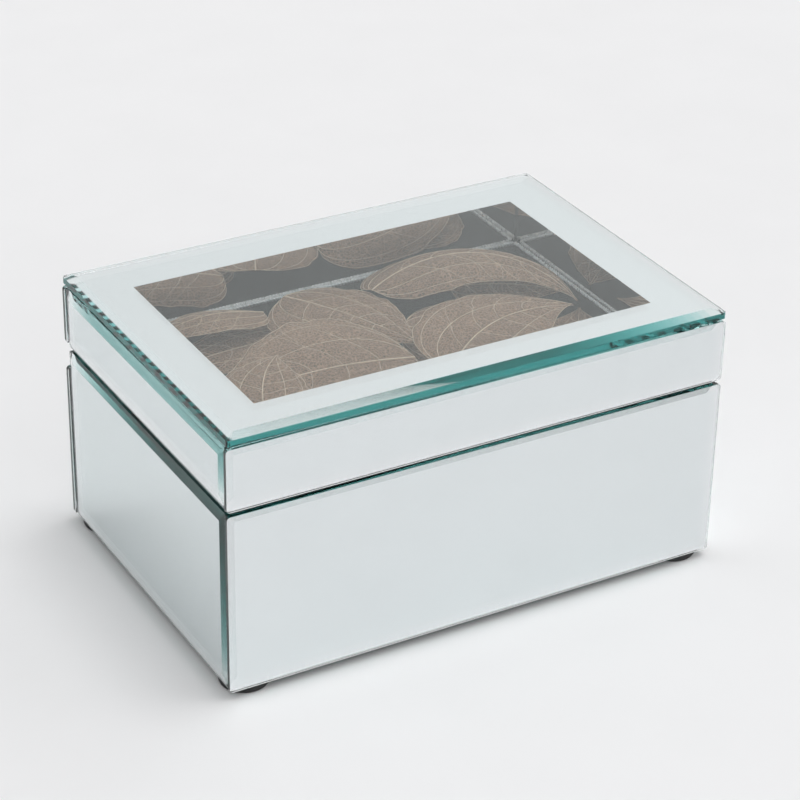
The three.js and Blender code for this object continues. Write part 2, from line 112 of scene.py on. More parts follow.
class Tree:
    """Short ways to add and wire the nodes of one tree."""

    def __init__(self, tree: bpy.types.NodeTree) -> None:
        """Keeps the tree that nodes are added to."""
        self.tree = tree

    def add(self, kind: str, sockets: dict | None = None, **settings: object) -> bpy.types.Node:
        """Adds a node and fills in its sockets.

        Args:
            kind: The node's type name.
            sockets: Input name or number to a value, or to an output to wire in.
            **settings: The node's own properties.

        Returns:
            The new node.
        """
        node = self.tree.nodes.new(kind)
        for key, value in settings.items():
            setattr(node, key, value)
        for key, value in (sockets or {}).items():
            if isinstance(value, bpy.types.NodeSocket):
                self.tree.links.new(value, node.inputs[key])
            else:
                node.inputs[key].default_value = value
        return node

    def math(self, operation: str, *values: float | Socket) -> Socket:
        """Adds a Math node and returns its result."""
        return self.add("ShaderNodeMath", dict(enumerate(values)), operation=operation).outputs[0]

    def ramp(self, value: Socket, low: float, high: float) -> Socket:
        """Returns 0 where value is under low, 1 over high, and a smooth rise between."""
        sockets = {"Value": value, "From Min": low, "From Max": high}
        return self.add("ShaderNodeMapRange", sockets, interpolation_type="SMOOTHSTEP").outputs[0]

    def blend(self, share: float | Socket, first: Colour | Socket, second: Colour | Socket) -> Socket:
        """Returns a colour between first and second."""
        sockets = {0: share, 6: first, 7: second}
        return self.add("ShaderNodeMix", sockets, data_type="RGBA").outputs[2]

    def place(self) -> Socket:
        """Returns the piece's own coordinates, in metres."""
        return self.add("ShaderNodeTexCoord").outputs["Object"]

    def noise(self, size_mm: float, detail: float) -> Socket:
        """Returns cloudy noise from 0 to 1 whose blotches are about size_mm across."""
        sockets = {"Vector": self.place(), "Scale": 1 / (size_mm * MM), "Detail": detail}
        return self.add("ShaderNodeTexNoise", sockets).outputs[0]

    def bump(self, height: Socket, depth_mm: float, strength: float) -> Socket:
        """Returns a normal that is tilted by a height pattern."""
        sockets = {"Strength": strength, "Distance": depth_mm * MM, "Height": height}
        return self.add("ShaderNodeBump", sockets).outputs[0]


class Effect(Enum):
    """Surface effects that more than one finish uses. Each is one shader node group."""

    SMEARS = "faint_smears"
    SPECKLE = "fine_speckle"
    PILE = "fabric_pile"

    @property
    def spread(self) -> float:
        """The broad noise's scale, as a share of the fine noise's."""
        return {Effect.SMEARS: 0.3, Effect.SPECKLE: 0.1, Effect.PILE: 0.08}[self]

    def tone(self, tree: Tree, fine: Socket, wide: Socket) -> Socket:
        """Combines the fine and the broad noise.

        Args:
            tree: The group's tree.
            fine: The fine noise.
            wide: The broad noise.

        Returns:
            A mask from 0 to 1.
        """
        if self is Effect.SMEARS:
            return tree.math("MULTIPLY", tree.ramp(fine, 0.45, 0.75), tree.ramp(wide, 0.4, 0.7))
        return tree.math("ADD", tree.math("MULTIPLY", fine, 0.5), tree.math("MULTIPLY", wide, 0.5))

    def group(self) -> bpy.types.NodeTree:
        """Hands out the effect's node group.

        Returns:
            The group, made the first time it is asked for.
        """
        ready = bpy.data.node_groups.get(self.value)
        if ready:
            return ready
        group = bpy.data.node_groups.new(self.value, "ShaderNodeTree")
        group.interface.new_socket("Size", in_out="INPUT", socket_type="NodeSocketFloat")
        group.interface.new_socket("Amount", in_out="INPUT", socket_type="NodeSocketFloat")
        group.interface.new_socket("Tone", in_out="OUTPUT", socket_type="NodeSocketFloat")
        group.interface.new_socket("Height", in_out="OUTPUT", socket_type="NodeSocketFloat")
        tree = Tree(group)
        given = tree.add("NodeGroupInput")
        place = tree.place()
        scale = tree.math("DIVIDE", 1.0, given.outputs["Size"])
        fine = tree.add("ShaderNodeTexNoise", {"Vector": place, "Scale": scale, "Detail": 4.0})
        wide_scale = tree.math("MULTIPLY", scale, self.spread)
        wide = tree.add("ShaderNodeTexNoise", {"Vector": place, "Scale": wide_scale, "Detail": 2.0})
        tone = self.tone(tree, fine.outputs[0], wide.outputs[0])
        amount = tree.math("MULTIPLY", tone, given.outputs["Amount"])
        tree.add("NodeGroupOutput", {"Tone": amount, "Height": fine.outputs[0]})
        return group

    def used_in(self, tree: Tree, size_mm: float, amount: float) -> bpy.types.Node:
        """Adds the effect to a material's tree.

        Args:
            tree: The material's tree.
            size_mm: How wide the fine pattern's blotches are.
            amount: The highest value of the Tone output.

        Returns:
            The group node, with outputs Tone and Height.
        """
        sockets = {"Size": size_mm * MM, "Amount": amount}
        return tree.add("ShaderNodeGroup", sockets, node_tree=self.group())


# ---------------------------------------------------------------------------------------------------
# Finishes
# ---------------------------------------------------------------------------------------------------


@dataclass(frozen=True)
class Finish:
    """A named surface finish that hands out one shared material."""

    name: str

    def material(self) -> bpy.types.Material:
        """Hands out the finish's material.

        Returns:
            The material, made the first time it is asked for.
        """
        ready = bpy.data.materials.get(self.name)
        if ready:
            return ready
        made = bpy.data.materials.new(self.name)
        made.use_nodes = True
        made.node_tree.nodes.clear()
        tree = Tree(made.node_tree)
        output = tree.add("ShaderNodeOutputMaterial")
        shader = self.shader(tree)
        made.node_tree.links.new(shader.outputs[0], output.inputs["Surface"])
        inside = self.inside(tree)
        if inside:
            made.node_tree.links.new(inside.outputs[0], output.inputs["Volume"])
        return made

    def shader(self, tree: Tree) -> bpy.types.Node:
        """Adds the surface shader. Each finish has its own."""
        raise NotImplementedError

    def inside(self, tree: Tree) -> bpy.types.Node | None:
        """Adds what fills the piece, if light passes through it."""
        return None

    def dress(self, *names: str) -> None:
        """Gives CAD nodes this finish.

        Args:
            *names: The nodes.
        """
        for name in names:
            mesh = NODES[name].data
            mesh.materials.clear()
            mesh.materials.append(self.material())


@dataclass(frozen=True)
class FloatGlass(Finish):
    """Clear sheet glass, which looks green through its edges."""

    density: float = 35.0
    tint: Colour = (0.2, 0.6, 0.58, 1.0)
    index: float = 1.52
    smears: float = 0.012
    smear_mm: float = 9.0

    def shader(self, tree: Tree) -> bpy.types.Node:
        """Adds smooth glass with faint smears.

        Args:
            tree: The material's tree.

        Returns:
            The surface shader.
        """
        film = Effect.SMEARS.used_in(tree, self.smear_mm, self.smears)
        sockets = {"Transmission Weight": 1.0, "IOR": self.index, "Base Color": (1, 1, 1, 1)}
        sockets["Roughness"] = film.outputs["Tone"]
        return tree.add("ShaderNodeBsdfPrincipled", sockets)

    def inside(self, tree: Tree) -> bpy.types.Node:
        """Adds the iron-green absorption of sheet glass."""
        return tree.add("ShaderNodeVolumeAbsorption", {"Color": self.tint, "Density": self.density})


@dataclass(frozen=True)
class Silver(Finish):
    """Silvering, as it looks from its glass side."""

    colour: Colour = (0.985, 0.94, 0.955, 1.0)
    cloud: Colour = (0.97, 0.926, 0.942, 1.0)
    cloud_mm: float = 14.0

    def shader(self, tree: Tree) -> bpy.types.Node:
        """Adds a clean metal whose tone clouds very slightly.

        Args:
            tree: The material's tree.

        Returns:
            The surface shader.
        """
        cloud = Effect.SMEARS.used_in(tree, self.cloud_mm, 1.0)
        colour = tree.blend(cloud.outputs["Tone"], self.colour, self.cloud)
        sockets = {"Base Color": colour, "Metallic": 1.0, "Roughness": 0.0}
        return tree.add("ShaderNodeBsdfPrincipled", sockets)


@dataclass(frozen=True)
class Fabric(Finish):
    """A cloth with a short pile."""

    colour: Colour
    worn: Colour
    fibre_mm: float
    depth_mm: float
    sheen: float

    def shader(self, tree: Tree) -> bpy.types.Node:
        """Adds soft cloth with a nap that catches the light.

        Args:
            tree: The material's tree.

        Returns:
            The surface shader.
        """
        pile = Effect.PILE.used_in(tree, self.fibre_mm, 1.0)
        tone = tree.ramp(pile.outputs["Tone"], *TONE_RANGE)
        colour = tree.blend(tone, self.colour, self.worn)
        normal = tree.bump(pile.outputs["Height"], self.depth_mm, 0.6)
        sockets = {"Base Color": colour, "Roughness": 0.95, "Normal": normal}
        sockets |= {"Sheen Weight": self.sheen, "Sheen Roughness": 0.4, "Specular IOR Level": 0.1}
        return tree.add("ShaderNodeBsdfPrincipled", sockets)


@dataclass(frozen=True)
class Solid(Finish):
    """An opaque finish with a fine speckle: paint, card, rubber or plated steel."""

    colour: Colour
    fleck: Colour
    grain_mm: float
    depth_mm: float
    roughness: float
    metal: float = 0.0

    def shader(self, tree: Tree) -> bpy.types.Node:
        """Adds the speckled surface, rougher where the speckle is lighter.

        Args:
            tree: The material's tree.

        Returns:
            The surface shader.
        """
        grain = Effect.SPECKLE.used_in(tree, self.grain_mm, 1.0)
        tone = tree.ramp(grain.outputs["Tone"], *TONE_RANGE)
        rough = tree.math("MULTIPLY_ADD", tone, 0.12, self.roughness - 0.06)
        sockets = {"Base Color": tree.blend(tone, self.colour, self.fleck), "Roughness": rough}
        sockets |= {"Metallic": self.metal, "Normal": tree.bump(grain.outputs["Height"], self.depth_mm, 0.5)}
        return tree.add("ShaderNodeBsdfPrincipled", sockets)


@dataclass(frozen=True)
class LeafSkin(Finish):
    """The leaf's blade: a coarse and a fine net of veins with see-through cells.

    A net's line is its width as a share of a cell's. Alpha is how much of the light is stopped.
    """

    net: Colour = srgb(180, 146, 123)
    cell: Colour = srgb(84, 63, 52)
    pale_cell: Colour = srgb(100, 77, 64)
    cell_mm: float = 1.5
    fine_mm: float = 0.6
    cell_line: float = 0.16
    fine_line: float = 0.22
    fine_weight: float = 0.6
    blotch_mm: float = 7.0
    relief_mm: float = 0.06
    cell_alpha: float = 0.44
    net_alpha: float = 0.8

    def web(self, tree: Tree, cell_mm: float, width: float) -> Socket:
        """Adds one size of net.

        Args:
            tree: The material's tree.
            cell_mm: The width of a cell.
            width: The line's width, as a share of the cell's.

        Returns:
            1 on the lines and 0 inside the cells.
        """
        sockets = {"Vector": tree.place(), "Scale": 1 / (cell_mm * MM)}
        cells = tree.add("ShaderNodeTexVoronoi", sockets, feature="DISTANCE_TO_EDGE")
        return tree.math("SUBTRACT", 1.0, tree.ramp(cells.outputs["Distance"], width / 3, width))

    def shader(self, tree: Tree) -> bpy.types.Node:
        """Adds the netted, half see-through blade.

        Args:
            tree: The material's tree.

        Returns:
            The surface shader.
        """
        coarse = self.web(tree, self.cell_mm, self.cell_line)
        fine = self.web(tree, self.fine_mm, self.fine_line)
        lines = tree.math("MAXIMUM", coarse, tree.math("MULTIPLY", fine, self.fine_weight))
        blotch = tree.ramp(tree.noise(self.blotch_mm, 3.0), 0.3, 0.7)
        cell = tree.blend(blotch, self.cell, self.pale_cell)
        alpha = tree.math("MULTIPLY_ADD", lines, self.net_alpha - self.cell_alpha, self.cell_alpha)
        sockets = {"Base Color": tree.blend(lines, cell, self.net), "Alpha": alpha, "Roughness": 0.75}
        sockets |= {"Normal": tree.bump(lines, self.relief_mm, 0.7), "Specular IOR Level": 0.25}
        return tree.add("ShaderNodeBsdfPrincipled", sockets)


@dataclass(frozen=True)
class LeafVein(Finish):
    """The leaf's ribs and its rim, paler than the blade."""

    colour: Colour = srgb(228, 208, 188)
    dark: Colour = srgb(198, 176, 154)

    def shader(self, tree: Tree) -> bpy.types.Node:
        """Adds the dry, faintly streaked rib.

        Args:
            tree: The material's tree.

        Returns:
            The surface shader.
        """
        streak = Effect.SPECKLE.used_in(tree, 1.2, 1.0)
        tone = tree.ramp(streak.outputs["Tone"], 0.4, 0.62)
        sockets = {"Base Color": tree.blend(tone, self.colour, self.dark), "Roughness": 0.6}
        sockets |= {"Normal": tree.bump(streak.outputs["Height"], 0.03, 0.4)}
        return tree.add("ShaderNodeBsdfPrincipled", sockets)


GLASS = FloatGlass("mirror_sheet_glass")
CLEAR_GLASS = FloatGlass("clear_sheet_glass", density=26.0, tint=(0.3, 0.75, 0.74, 1.0))
SILVER = Silver("silvering_behind_glass", colour=(0.95, 0.91, 0.925, 1.0), cloud=(0.936, 0.896, 0.911, 1.0))
BORDER_SILVER = Silver("border_silvering")
TRAY_SILVER = Silver("tray_mirror_silver", colour=(0.88, 0.87, 0.86, 1.0), cloud=(0.84, 0.83, 0.82, 1.0))
VELVET = Fabric("charcoal_velvet", srgb(40, 41, 45), srgb(66, 67, 72), 0.7, 0.25, 0.7)
FELT = Fabric("black_felt", srgb(24, 24, 26), srgb(40, 40, 43), 0.9, 0.3, 0.2)
BRAID = Solid("silver_thread", srgb(238, 240, 244), srgb(252, 252, 254), 0.3, 0.04, 0.3, 0.75)
CARD = Solid("black_card", srgb(13, 14, 15), srgb(19, 20, 21), 0.6, 0.02, 0.9)
PAINT = Solid("grey_painted_board", srgb(96, 99, 101), srgb(112, 115, 117), 1.1, 0.06, 0.75)
RUBBER = Solid("black_rubber", srgb(22, 23, 24), srgb(34, 35, 36), 0.8, 0.05, 0.62)
HINGE_STEEL = Solid("plated_hinge_steel", srgb(188, 190, 193), srgb(206, 208, 210), 0.5, 0.01, 0.28, 1.0)
SCREW_STEEL = Solid("plated_screw_steel", srgb(200, 202, 205), srgb(216, 218, 220), 0.4, 0.01, 0.24, 1.0)
LEAF_SKIN = LeafSkin("leaf_blade")
LEAF_VEIN = LeafVein("leaf_rib")
FLOOR = Solid("pale_studio_floor", srgb(240, 240, 241), srgb(242, 242, 243), 60.0, 0.02, 0.9)


# ---------------------------------------------------------------------------------------------------
# Mesh helpers
# ---------------------------------------------------------------------------------------------------


def place_piece(thing: bpy.types.Object, name: str, body: Body, slot: str, *replaced: str) -> None:
    """Puts a finished piece on its body and hides the CAD nodes that it stands for.

    Args:
        thing: The piece.
        name: The piece's name.
        body: The body that it moves with.
        slot: Not used.
        *replaced: The CAD nodes that it stands for.
    """
    thing.name = name
    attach(thing, body.value)
    if replaced:
        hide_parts(*replaced)
    LOG.info("%s: %d faces", name, len(thing.data.polygons))


def as_object(
    name: str, shape: bmesh.types.BMesh, *finishes: Finish, smooth: bool = False
) -> bpy.types.Object:
    """Turns a bmesh into an object with its finishes.

    Args:
        name: The object's name.
        shape: The bmesh, which is freed.
        *finishes: One for each material number that its faces use.
        smooth: True to shade it smooth.

    Returns:
        The linked object.
    """
    mesh = bpy.data.meshes.new(name)
    for face in shape.faces:
        face.smooth = smooth
    shape.to_mesh(mesh)
    shape.free()
    for finish in finishes:
        mesh.materials.append(finish.material())
    thing = bpy.data.objects.new(name, mesh)
    bpy.context.scene.collection.objects.link(thing)
    return thing


def round_off(shape: bmesh.types.BMesh, edges: Sequence[bmesh.types.BMEdge], radius: float) -> None:
    """Rounds some edges of a bmesh."""
    bmesh.ops.bevel(shape, geom=edges, offset=radius, segments=EDGE_STEPS, affect="EDGES", profile=0.5)


def add_block(shape: bmesh.types.BMesh, low: Vector, high: Vector, rounding: float = 0.0) -> None:
    """Adds a block between two corners.

    Args:
        shape: The bmesh to add to.
        low: The lowest corner.
        high: The highest corner.
        rounding: The radius of its edges.
    """
    size = high - low
    matrix = Matrix.Translation((low + high) / 2) @ Matrix.Diagonal((*size, 1.0))
    made = bmesh.ops.create_cube(shape, size=1.0, matrix=matrix)
    if rounding:
        round_off(shape, list({edge for vert in made["verts"] for edge in vert.link_edges}), rounding)


def lofted(rings: Sequence[Sequence[Vector]]) -> bmesh.types.BMesh:
    """Joins rings of points into one closed skin with flat ends.

    Args:
        rings: Rings with the same number of points each.

    Returns:
        A bmesh whose faces point outwards.
    """
    shape = bmesh.new()
    rows = [[shape.verts.new(point) for point in ring] for ring in rings]
    count = len(rings[0])
    for row, following in zip(rows, rows[1:]):
        for i in range(count):
            j = (i + 1) % count
            shape.faces.new((row[i], row[j], following[j], following[i]))
    shape.faces.new(rows[0][::-1])
    shape.faces.new(rows[-1])
    bmesh.ops.recalc_face_normals(shape, faces=shape.faces)
    return shape


@dataclass
class Line:
    """A line that a round rod follows: its points, and the rod's radius at each."""

    points: list[Vector]
    radii: list[float]
    cyclic: bool = False


class RodMaker:
    """Gives lines a round wall with Geometry Nodes, as one straight rod or as twisted strands."""

    def __init__(self, sides: int, finish: Finish, strands: int = 1, twist: float = 0.0, turns: int = 0,
                 steps: int = 0) -> None:
        """Builds the tree.

        Args:
            sides: Faces round a strand.
            finish: The strands' finish.
            strands: How many strands run round the line.
            twist: The strands' distance from the line.
            turns: How often a strand goes round the line, along the whole of it.
            steps: Points along the line, or 0 to keep its own.
        """
        self.sizes = {"Sides": sides, "Twist": twist, "Turns": turns, "Steps": steps}
        self.tree = bpy.data.node_groups.new("rods_along_lines", "GeometryNodeTree")
        face = self.tree.interface
        face.new_socket("Geometry", in_out="INPUT", socket_type="NodeSocketGeometry")
        for size in self.sizes:
            kind = "NodeSocketFloat" if size == "Twist" else "NodeSocketInt"
            face.new_socket(size, in_out="INPUT", socket_type=kind)
        face.new_socket("Finish", in_out="INPUT", socket_type="NodeSocketMaterial")
        face.new_socket("Geometry", in_out="OUTPUT", socket_type="NodeSocketGeometry")
        self.finish = finish
        tree = Tree(self.tree)
        given = tree.add("NodeGroupInput").outputs
        line = given["Geometry"]
        if steps:
            line = tree.add("GeometryNodeResampleCurve", {"Curve": line, "Count": given["Steps"]}).outputs[0]
        profile = tree.add("GeometryNodeCurvePrimitiveCircle", {"Resolution": given["Sides"], "Radius": 1.0})
        joined = tree.add("GeometryNodeJoinGeometry")
        for strand in range(strands):
            path = self.strand(tree, line, given, strand / strands) if turns else line
            wall = tree.add("GeometryNodeCurveToMesh", {"Curve": path, "Profile Curve": profile.outputs[0]})
            wall.inputs["Fill Caps"].default_value = True
            radius = tree.add("GeometryNodeInputRadius")
            if "Scale" in wall.inputs:
                self.tree.links.new(radius.outputs[0], wall.inputs["Scale"])
            self.tree.links.new(wall.outputs[0], joined.inputs[0])
        real = tree.add("GeometryNodeRealizeInstances", {"Geometry": joined.outputs[0]})
        sockets = {"Geometry": real.outputs[0], "Material": given["Finish"]}
        dressed = tree.add("GeometryNodeSetMaterial", sockets)
        tree.add("NodeGroupOutput", {"Geometry": dressed.outputs[0]})

    def strand(self, tree: Tree, line: Socket, given: bpy.types.NodeOutputs, phase: float) -> Socket:
        """Adds the nodes that wind one strand round the line.

        Args:
            tree: The tree.
            line: The curve to wind round.
            given: The tree's inputs.
            phase: The strand's start, as a share of a turn.

        Returns:
            The wound curve.
        """
        level = tree.add("GeometryNodeSetCurveNormal", {"Curve": line}, mode="Z_UP").outputs[0]
        share = tree.add("GeometryNodeSplineParameter").outputs["Factor"]
        turned = tree.math("MULTIPLY_ADD", share, given["Turns"], phase)
        angle = tree.math("MULTIPLY", turned, 2 * math.pi)
        normal = tree.add("GeometryNodeInputNormal").outputs[0]
        tangent = tree.add("GeometryNodeInputTangent").outputs[0]
        sideways = tree.add("ShaderNodeVectorMath", {0: tangent, 1: normal}, operation="CROSS_PRODUCT")
        across = sideways.outputs[0]
        parts = []
        for direction, wave in ((normal, "COSINE"), (across, "SINE")):
            reach = tree.math("MULTIPLY", tree.math(wave, angle), given["Twist"])
            scaled = tree.add("ShaderNodeVectorMath", {0: direction, "Scale": reach}, operation="SCALE")
            parts.append(scaled.outputs[0])
        offset = tree.add("ShaderNodeVectorMath", dict(enumerate(parts)), operation="ADD").outputs[0]
        return tree.add("GeometryNodeSetPosition", {"Geometry": level, "Offset": offset}).outputs[0]

    def mesh(self, lines: Iterable[Line]) -> bpy.types.Mesh:
        """Runs the tree on some lines.

        Args:
            lines: The lines to follow.

        Returns:
            A plain mesh with no modifier.
        """
        curve = bpy.data.curves.new("rod_lines", "CURVE")
        curve.dimensions = "3D"
        for line in lines:
            spline = curve.splines.new("POLY")
            spline.points.add(len(line.points) - 1)
            for point, place, radius in zip(spline.points, line.points, line.radii):
                point.co = (*place, 1.0)
                point.radius = radius
            spline.use_cyclic_u = line.cyclic
        holder = bpy.data.objects.new("rod_lines", curve)
        bpy.context.scene.collection.objects.link(holder)
        modifier = holder.modifiers.new("rods", "NODES")
        modifier.node_group = self.tree
        values = {**self.sizes, "Finish": self.finish.material()}
        for item in self.tree.interface.items_tree:
            if item.in_out == "INPUT" and item.name in values:
                modifier[item.identifier] = values[item.name]
        ready = holder.evaluated_get(bpy.context.evaluated_depsgraph_get())
        mesh = bpy.data.meshes.new_from_object(ready)
        bpy.data.objects.remove(holder)
        bpy.data.curves.remove(curve)
        return mesh


# ---------------------------------------------------------------------------------------------------
# Glass
# ---------------------------------------------------------------------------------------------------


@dataclass
class MirrorCladding:
    """The bevelled mirror panes of one body: real glass with a sheet of silver behind each."""

    body: Body
    silver: float = 0.08 * MM
    gap: float = 0.04 * MM
    edge: float = 0.25 * MM

    def build(self) -> None:
        """Dresses the panes and makes their silvering."""
        shape = bmesh.new()
        for side in Side:
            pane = f"{self.body.value}_{side.word}_mirror"
            GLASS.dress(pane)
            add_block(shape, *self.backing(pane, side))
        sheets = as_object("silvering", shape, SILVER)
        place_piece(sheets, f"{self.body.value}_pane_silvering", self.body, "mirror_glass")

    def backing(self, pane: str, side: Side) -> tuple[Vector, Vector]:
        """Works out where a pane's silver is.

        Args:
            pane: The pane's node.
            side: The wall that it clads.

        Returns:
            The sheet's lowest and highest corners.
        """
        low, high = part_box(pane)
        axis = 0 if side.value[0] else 1
        inwards = -side.value[axis]
        inner_face = high[axis] if inwards > 0 else low[axis]
        near = inner_face + inwards * self.gap
        far = near + inwards * self.silver
        low = low + Vector((self.edge,) * 3)
        high = high - Vector((self.edge,) * 3)
        low[axis] = min(near, far)
        high[axis] = max(near, far)
        return low, high


@dataclass
class TopWindow:
    """The lid's clear top pane and the silvering on the border of its underside."""

    def build(self) -> None:
        """Dresses the pane and its border."""
        CLEAR_GLASS.dress("lid_top_glass")
        BORDER_SILVER.dress("border_silvering")


# ---------------------------------------------------------------------------------------------------
# The tray
# ---------------------------------------------------------------------------------------------------


@dataclass
class Tray:
    """The mirrored tray under the top pane: four mirror strips, a card floor and a braid.

    A braid strand winds round the seam once in each pitch. Corner cut is the share of a wall's length at
    which the braid leaves it to turn the corner.
    """

    strand_radius: float = 0.56 * MM
    twist: float = 0.44 * MM
    pitch: float = 3.4 * MM
    points_each_turn: int = 9
    strand_sides: int = 6
    corner_cut: float = 0.01

    def build(self) -> None:
        """Dresses the strips and the floor, and winds the braid."""
        for side in Side:
            TRAY_SILVER.dress(f"tray_{side.word}_mirror")
        CARD.dress("tray_floor")
        self.build_braid()

    def build_braid(self) -> None:
        """Winds two strands into a braid along the seam of floor and walls."""
        low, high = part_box("tray_seam_braid")
        radius = (high.z - low.z) / 2
        low = low + Vector((radius,) * 3)
        high = high - Vector((radius,) * 3)
        corners = [(low.x, low.y), (high.x, low.y), (high.x, high.y), (low.x, high.y)]
        length = 2 * (high.x - low.x + high.y - low.y)
        turns = round(length / self.pitch)
        steps = turns * self.points_each_turn
        maker = RodMaker(self.strand_sides, BRAID, strands=2, twist=self.twist, turns=turns, steps=steps)
        path = []
        for (x, y), (next_x, next_y) in zip(corners, corners[1:] + corners[:1]):
            for share in (self.corner_cut, 1 - self.corner_cut):
                path.append(Vector((x + (next_x - x) * share, y + (next_y - y) * share, low.z)))
        mesh = maker.mesh([Line(path, [self.strand_radius] * len(path), cyclic=True)])
        braid = bpy.data.objects.new("braid", mesh)
        bpy.context.scene.collection.objects.link(braid)
        place_piece(braid, "tray_twisted_braid", Body.LID, "silver_braid", "tray_seam_braid")


# ---------------------------------------------------------------------------------------------------
# Skeleton leaves
# ---------------------------------------------------------------------------------------------------


@dataclass(frozen=True)
class LeafLay:
    """How a leaf lies. Lengths are in millimetres, z is over the tray floor, and angles are in degrees.

    The midrib starts at x, y, z and runs along the heading, which turns by bend. Lift arches it, droop
    lowers the blade's edges and roll tips it about the midrib.
    """

    x: float
    y: float
    z: float
    heading: float
    length: float
    width: float
    lift: float
    droop: float
    bend: float
    roll: float


LAID_OUT_FOR = (108.4, 70.9, 27.6)  # the tray's half width, half depth and height, in millimetres
LEAVES = (
    LeafLay(-5, -30, 13.5, 180, 101, 79, 5, 3, 0, -9),
    LeafLay(13, 13, 4.5, -38, 88, 68, 3, 2.5, -8, 0),
    LeafLay(5, -46, 14, 44, 84, 56, 4, 2.5, -52, 8),
    LeafLay(14, 43, 9, 18, 108, 50, 10, 8, -104, -8),
    LeafLay(-24, 56, 9, -65, 76, 60, 2, 4, 0, 0),
    LeafLay(-38, 50, 7, 183, 66, 38, 6, 4, 4, 12),
    LeafLay(-26, 32, 2, 180, 78, 42, 1.5, 1, 8, 0),
    LeafLay(-92, -60, 21.5, 72, 54, 40, 2.5, 2, -28, 0),
    LeafLay(56, 44, 1, -24, 54, 48, 1.4, 0.5, -16, 0),
    LeafLay(56, -58, 1, 50, 70, 50, 1.2, 0.5, 6, 0),
)


@dataclass(frozen=True)
class TrayRoom:
    """The tray's inside: how the leaves' layout is stretched to it, and its floor's height."""

    stretch: Vector
    floor: float

    @staticmethod
    def measured() -> TrayRoom:
        """Measures the tray against the size that the leaves were laid out for.

        Returns:
            The tray's room.
        """
        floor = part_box("tray_floor")[1].z
        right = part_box("tray_right_mirror")[0].x
        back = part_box("tray_back_mirror")[0].y
        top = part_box("border_silvering")[0].z
        real = Vector((right, back, top - floor))
        return TrayRoom(Vector(size / (MM * layout) for size, layout in zip(real, LAID_OUT_FOR)), floor)


@dataclass(frozen=True)
class Rib:
    """A rib that runs the length of a blade.

    Start and end are each a share of the blade's length and a share of its half width. Width is in
    millimetres at the start, and taper is the width left at the end.
    """

    start: tuple[float, float]
    end: tuple[float, float]
    width: float
    taper: float
    points: int


MIDRIB = Rib((0.0, 0.0), (0.985, 0.0), 0.8, 0.25, 56)
INNER_RIB = Rib((0.004, 0.5), (0.93, 0.42), 0.38, 0.4, 44)
OUTER_RIB = Rib((0.004, 0.82), (0.66, 0.86), 0.28, 0.4, 36)
RIM = Rib((0.0, 0.985), (0.995, 0.985), 0.26, 0.8, 56)


